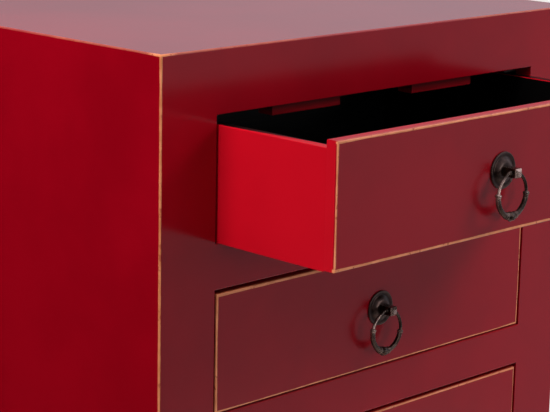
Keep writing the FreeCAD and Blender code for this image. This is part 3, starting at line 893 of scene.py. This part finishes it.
    def build_ring(self) -> bpy.types.Object:
        """Make the ring: a round section of changing size carried along its path.

        The lower arms and the bead are fluted lengthwise: the section's radius falls by a share of
        cos^2 of a multiple of the turn round the wire.

        Returns:
            The ring.
        """
        path, turn = self.ring_path()
        size = np.abs(turn)
        tangent = np.gradient(path, axis=0)
        tangent /= np.linalg.norm(tangent, axis=1, keepdims=True)
        normal = np.stack([-tangent[:, 1], tangent[:, 0]], axis=-1)
        round_turn = np.linspace(0, FULL_TURN, self.wire_points, endpoint=False)
        arms = step_down(size, self.arm_end, self.arm_step) * (1 - hump(size, 0.0, self.arm_clear))
        bead = hump(turn, 0.0, self.bead_reach)
        fluted = self.arm_flute * np.outer(arms, np.cos(self.arm_waves * round_turn) ** 2)
        fluted += self.bead_flute * np.outer(bead, np.cos(self.bead_waves * round_turn) ** 2)
        radius = self.wire_radius(turn, path[:, 0])[:, None] * (1 - fluted)
        out = radius * np.cos(round_turn)
        deep = radius * np.sin(round_turn)
        across = path[:, None, 0] + normal[:, None, 0] * out
        up = path[:, None, 1] + normal[:, None, 1] * out
        angle = self.lean()
        pivot = self.pivot()
        points = np.stack([
            pivot[0] + across * math.cos(angle) + up * math.sin(angle),
            pivot[1] + deep,
            pivot[2] - across * math.sin(angle) + up * math.cos(angle),
        ], axis=-1)
        piece = grid_mesh(f"ring_pull_{self.number}_ring", points, Ends.FANS)
        rubbed = sum(share * hump(size, place, width) for share, place, width in self.worn_alike)
        # Painted highlight on the left arm and painted shade on the right arm
        rubbed += sum(share * hump(turn, place, width) for share, place, width in self.wear_and_highlight_arm)
        front = np.clip(self.wear_front * (1 - np.sin(round_turn)), 0, 1)
        wear = self.wear_least + self.wear_most * np.outer(rubbed, front)
        set_layer(piece, CastIron.rub_layer, wear)
        return piece

    def build(self, dull: bpy.types.Material, polished: bpy.types.Material) -> None:
        """Make the plate and the ring and put them in place of their solids.

        Args:
            dull: finish of the plate.
            polished: finish of the ring.
        """
        pieces = {
            "plate": (self.build_plate(), dull, f"drawer_{self.number}"),
            "ring": (self.build_ring(), polished, f"ring_{self.number}"),
        }
        for part, (piece, iron, body) in pieces.items():
            piece.data.materials.append(iron)
            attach(piece, body)
            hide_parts(f"pull_{self.number}_{part}")
            LOG.info("%s: %d vertices", piece.name, len(piece.data.vertices))


@dataclass
class Chest:
    """Case, drawers and inner woodwork, whose solids stay and are dressed with finishes."""

    lacquer: LacquerFinish = LacquerFinish()
    frame_face: float = 22 * MM
    side_thick: float = 20 * MM
    top_thick: float = 20 * MM
    skin: float = 0.2 * MM
    sill: float = 1.6 * MM
    rim_start: float = 2.6 * MM
    post_worn: float = 2.8 * MM
    # Heights above a stop's foot over which its red darkens upward: painted shade under the rail
    stop_shade_span: tuple = (1 * MM, 10 * MM)
    stop_ior: float = 1.2
    plate_rough: float = 0.33
    gold_wear: tuple = (
        GoldWear(ends=1.1 * MM, upper=2.3 * MM, lower=3.1 * MM),
        GoldWear(ends=2.0 * MM, upper=3.3 * MM, lower=2.0 * MM),
        GoldWear(ends=1.6 * MM, upper=2.1 * MM, lower=2.5 * MM),
        GoldWear(ends=1.7 * MM, upper=2.6 * MM, lower=2.9 * MM),
    )

    def dress(self, names: list[str], material: bpy.types.Material) -> None:
        """Give solids a finish.

        Args:
            names: nodes to dress.
            material: their finish.
        """
        for name in names:
            slots = frame["nodes"][name].data.materials
            slots.clear()
            slots.append(material)
            LOG.info("%s: %s", name, material.name)

    def dress_case(self) -> None:
        """Lacquer the boards that show, black within the case and matt along the rails."""
        low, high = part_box("top_panel")
        low.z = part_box("left_stile")[0].z
        inset = Vector((self.side_thick, self.frame_face, 0)) - Vector((self.skin, self.skin, 0))
        hollow_low = Vector((low.x + inset.x, low.y + inset.y, -FAR))
        hollow_high = Vector((high.x - inset.x, FAR, high.z - self.top_thick + self.skin))
        rails = ["bottom_rail"] + [f"middle_rail_{n}" for n in DRAWERS[:-1]]
        reach = Vector((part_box("right_stile")[0].x, FAR, self.sill))
        edges = [Vector((0, 0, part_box(name)[1].z)) for name in rails]
        sills = [(edge - reach, edge + reach) for edge in edges]
        case = self.lacquer.case(low, high, (hollow_low, hollow_high), sills)
        sides = ["left_side_panel", "right_side_panel", "left_stile", "right_stile"]
        self.dress(["top_panel", *sides, "top_rail", *rails], case)

    def dress_inside(self) -> None:
        """Stain the woodwork inside and behind the case, and paint the drawer stops, darkened upward
        as painted shade under the rail above them.
        """
        inner = PaintedWood("stained_softwood", "#241811", "#170F0B")
        self.dress([f"runners_{n}" for n in DRAWERS] + ["kickers"], inner.build())
        cross = PaintedWood("stained_cross_rail", "#2A1B13", "#1A110C", Grain.ACROSS)
        self.dress(["rear_top_rail", "rear_bottom_rail", "dust_panel"], cross.build())
        back = PaintedWood("stained_back_board", "#33211A", "#20140F", Grain.UPRIGHT)
        self.dress(["back_panel"], back.build())
        for n in DRAWERS:
            stops = f"drawer_stops_{n}"
            name = f"red_stop_with_painted_shade_{n}"
            paint = PaintedWood(name, "#C20E22", "#A80A1A", Grain.ACROSS, self.stop_ior)
            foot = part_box(stops)[0].z
            self.dress([stops], paint.build(tuple(foot + rise for rise in self.stop_shade_span)))

    def dress_drawers(self) -> None:
        """Paint the drawers: lacquered faces, bright red sides, black insides."""
        black = PaintedWood("black_painted_board", "#0D0B0B", "#070606", Grain.ACROSS).build()
        for n, wear in zip(DRAWERS, self.gold_wear):
            front = f"drawer_{n}_front"
            name = f"drawer_{n}_lacquer"
            face = self.lacquer.drawer_front(name, *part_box(front), self.rim_start, wear)
            self.dress([front], face)
            sides = [f"drawer_{n}_left_side", f"drawer_{n}_right_side"]
            low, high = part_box(sides[0])[0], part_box(sides[1])[1]
            paint = self.lacquer.drawer_side(f"drawer_{n}_bright_red_paint", low, high)
            self.dress(sides, paint)
            self.dress([f"drawer_{n}_back", f"drawer_{n}_bottom"], black)

    def dress_pulls(self) -> None:
        """Make the ring pulls and dress their posts and nuts."""
        polished = CastIron().build()
        dull = CastIron("waxed_plate_iron", "#251612", "#3A2520", rough=self.plate_rough).build()
        steel = ZincSteel().build()
        for n in DRAWERS:
            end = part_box(f"pull_{n}_post")[0].y + self.post_worn
            worn = Vector((-FAR, -FAR, -FAR)), Vector((FAR, end, FAR))
            self.dress([f"pull_{n}_post"], CastIron(f"waxed_post_iron_{n}").build(worn))
            self.dress([f"pull_{n}_nut"], steel)
            RingPull(n).build(dull, polished)

    def build(self) -> None:
        """Dress the whole chest."""
        self.dress_case()
        self.dress_inside()
        self.dress_drawers()
        self.dress_pulls()


@dataclass(frozen=True)
class Lamp:
    """Softbox that faces a point: place and aim in metres, size across, power in watts.

    It is round, or a strip where it has a height. One that isn't mirrored lights the chest without
    a glare of its own in the lacquer.
    """

    name: str
    place: tuple
    aim: tuple
    size: float
    power: float
    height: float = 0.0
    mirrored: bool = True

    def build(self) -> None:
        """Hang the softbox in the scene."""
        data = bpy.data.lights.new(self.name, "AREA")
        data.shape = "RECTANGLE" if self.height else "DISK"
        data.size = self.size
        data.size_y = self.height
        data.energy = self.power
        lamp = bpy.data.objects.new(self.name, data)
        place = Vector(self.place)
        turned = (Vector(self.aim) - place).to_track_quat("-Z", "Y").to_matrix().to_4x4()
        lamp.matrix_world = Matrix.Translation(place) @ turned
        lamp.visible_camera = False
        lamp.visible_glossy = self.mirrored
        bpy.context.scene.collection.objects.link(lamp)


@dataclass(frozen=True)
class RoomLight:
    """Soft light of a room, as a level for each of the six sides that it comes from."""

    left: float = 0.0
    right: float = 0.0
    front: float = 0.0
    back: float = 0.0
    above: float = 0.0
    below: float = 0.0

    def strength(self, add: partial, way: Socket) -> Socket:
        """Strength towards a direction d.

        It is max(d, 0) . (right, back, above) + max(-d, 0) . (left, front, below).

        Args:
            add: add_node for the node tree of the world.
            way: socket with the direction.

        Returns:
            Socket with the strength.
        """
        positive = (self.right, self.back, self.above)
        negative = (self.left, self.front, self.below)
        total = 0.0
        for sign, levels in ((1.0, positive), (-1.0, negative)):
            share = add("VectorMath", (way, (sign, sign, sign)), operation="MULTIPLY")
            share = add("VectorMath", (share,), operation="MAXIMUM")
            level = add("VectorMath", (share, levels), "Value", operation="DOT_PRODUCT")
            total = add("Math", (level, total), operation="ADD")
        return total


@dataclass
class Studio:
    """Pale floor, soft light and the camera at the photograph's viewing angle."""

    image_width: float = 550.0
    focal_pixels: float = 1920.6
    sensor: float = 36.0
    camera_place: tuple = (-1525.6 * MM, -1476.9 * MM, 1132.2 * MM)
    azimuth: float = 45.106
    elevation: float = -12.997
    roll: float = 1.156
    floor_radius: float = 1.35
    floor_fade: tuple = (0.7, 1.323)
    floor_points: int = 96
    floor_tones: tuple = ("#E6E2DC", "#DFDAD3")
    floor_grain: float = 30 * MM
    floor_levels: tuple = (0.2, 0.8)
    floor_rough: float = 0.8
    backdrop: str = "#F2F0EE"
    fill_tint: str = "#FFFFFF"
    shine_tint: str = "#EFF2FF"
    fill: RoomLight = RoomLight(left=0.04, back=0.02, above=0.04, below=0.04)
    shine: RoomLight = RoomLight(right=0.47, above=1.25)
    lamps: tuple = (
        Lamp("left_softbox", (-1.4, -0.1, 2.0), (-0.3, 0.1, 0.7), 0.9, 34.5, mirrored=False),
        Lamp("far_left_softbox", (-2.4, -0.6, 1.8), (-0.3, 0.0, 0.6), 1.0, 7.3),
        Lamp("front_softbox", (0.25, -2.2, 0.72), (0.0, -0.1, 0.5), 0.5, 4.4),
        Lamp("front_right_softbox", (0.9, -2.1, 1.0), (0.0, -0.1, 0.6), 0.5, 5.4),
        Lamp("right_softbox", (1.7, -1.2, 2.0), (0.0, -0.1, 0.6), 0.9, 34.5, mirrored=False),
        Lamp("front_left_strip", (-1.75, -1.8, 0.9), (0.0, -0.2, 0.6), 0.2, 2.2, height=1.5),
        Lamp("top_softbox", (0.3, 0.4, 2.6), (0.0, 0.1, 0.6), 1.2, 2.0),
        Lamp("rear_softbox", (0.4, 2.4, 1.7), (0.0, 0.3, 0.5), 1.2, 24.0, mirrored=False),
    )

    def add_camera(self) -> None:
        """Place the camera that was fitted to the photograph's edges."""
        turn, tilt, roll = (math.radians(a) for a in (self.azimuth, self.elevation, self.roll))
        level = math.cos(tilt)
        ahead = Vector((math.sin(turn) * level, math.cos(turn) * level, math.sin(tilt)))
        right = ahead.cross(Vector((0, 0, 1))).normalized()
        up = right.cross(ahead)
        right, up = (
            right * math.cos(roll) + up * math.sin(roll),
            up * math.cos(roll) - right * math.sin(roll),
        )
        data = bpy.data.cameras.new("photo_camera")
        data.sensor_fit = "HORIZONTAL"
        data.sensor_width = self.sensor
        data.lens = self.sensor * self.focal_pixels / self.image_width
        camera = bpy.data.objects.new("photo_camera", data)
        turned = Matrix((right, up, -ahead)).transposed().to_4x4()
        camera.matrix_world = Matrix.Translation(Vector(self.camera_place)) @ turned
        bpy.context.scene.collection.objects.link(camera)
        bpy.context.scene.camera = camera

    def add_floor(self) -> None:
        """Lay a round pale floor that fades out towards its rim."""
        turn = np.linspace(0, FULL_TURN, self.floor_points, endpoint=False)
        rim = np.stack([np.cos(turn), np.sin(turn), np.zeros_like(turn)], axis=-1)
        mesh = bpy.data.meshes.new("studio_floor")
        mesh.from_pydata((self.floor_radius * rim).tolist(), [], [list(range(len(rim)))])
        floor = bpy.data.objects.new("studio_floor", mesh)
        bpy.context.scene.collection.objects.link(floor)
        finish = Finish("pale_studio_floor")
        add = finish.add
        grain = finish.cloud(self.floor_grain, detail=4.0)
        colour = finish.tone(grain, self.floor_levels, *self.floor_tones)
        solid = add("BsdfPrincipled", {"Base Color": colour, "Roughness": self.floor_rough})
        away = add("VectorMath", (finish.place,), "Value", operation="LENGTH")
        share = add("MapRange", (away, *self.floor_fade), **SMOOTH)
        faded = add("MixShader", (share, solid, add("BsdfTransparent")))
        add("OutputMaterial", {"Surface": faded})
        floor.data.materials.append(finish.material)

    def add_light(self) -> None:
        """Light the chest with softboxes in a pale room.

        Rays that leave a matt surface see the room's fill, and those that leave a glossy one see the
        paler side of the room that is mirrored in the lacquer.
        """
        world = bpy.data.worlds.new("soft_studio")
        bpy.context.scene.world = world
        world.use_nodes = True
        world.node_tree.nodes.clear()
        add = partial(add_node, world.node_tree)
        way = add("TexCoord", out="Generated")
        room = add("Background", (linear(self.fill_tint), self.fill.strength(add, way)))
        shine = add("Background", (linear(self.shine_tint), self.shine.strength(add, way)))
        pale = add("Background", (linear(self.backdrop), 1.0))
        for ray, light in (("Is Glossy Ray", shine), ("Is Camera Ray", pale)):
            room = add("MixShader", (add("LightPath", out=ray), room, light))
        add("OutputWorld", {"Surface": room})
        for lamp in self.lamps:
            lamp.build()

    def build(self) -> None:
        """Set the whole stage."""
        self.add_camera()
        self.add_floor()
        self.add_light()
        bpy.context.scene.view_settings.view_transform = "Standard"


def main() -> None:
    """Dress the chest, make its pulls and set the stage."""
    logging.basicConfig(level=logging.INFO, format="%(message)s")
    Chest().build()
    Studio().build()


if __name__ == "__main__":
    main()
